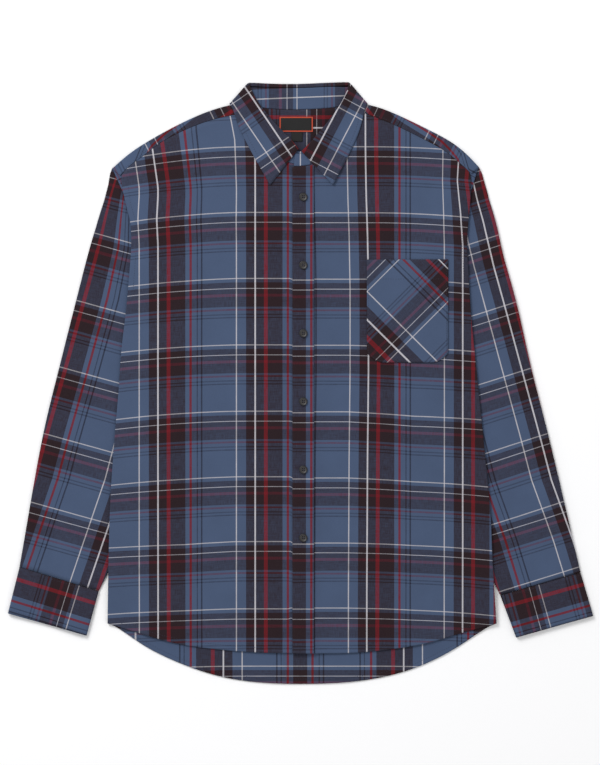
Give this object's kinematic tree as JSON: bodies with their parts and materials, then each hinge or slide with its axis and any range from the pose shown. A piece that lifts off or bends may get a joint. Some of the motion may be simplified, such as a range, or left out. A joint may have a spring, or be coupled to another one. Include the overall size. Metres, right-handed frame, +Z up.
{
  "type": "flannel shirt",
  "caption": "Long-sleeved button-front flannel shirt in a woven check, laid flat face up with its sleeves at its sides, with a turned-down collar and a bias chest pocket.",
  "frame": {"origin": "centre of the laid shirt's outline, on the surface that it lies on", "axes": "+X towards the wearer's left, +Y towards the collar, +Z up out of the shirt's front"},
  "size_m": [0.8078, 0.8306, 0.0115],
  "materials": {
    "flannel": "soft brushed cotton, matt, woven check",
    "button": "dark polyester, satin",
    "label": "woven satin tape, blank"
  },
  "bodies": {
    "root": {"back": "flannel", "front_right": "flannel", "front_left": "flannel", "yoke": "flannel", "sleeve_right": "flannel", "sleeve_left": "flannel", "cuff_right": "flannel", "cuff_left": "flannel", "collar_stand": "flannel", "collar_leaf": "flannel", "placket": "flannel", "pocket": "flannel", "button_1": "button", "button_2": "button", "button_3": "button", "button_4": "button", "button_5": "button", "button_6": "button", "label": "label", "size_tab": "label"}
  },
  "joints": []
}
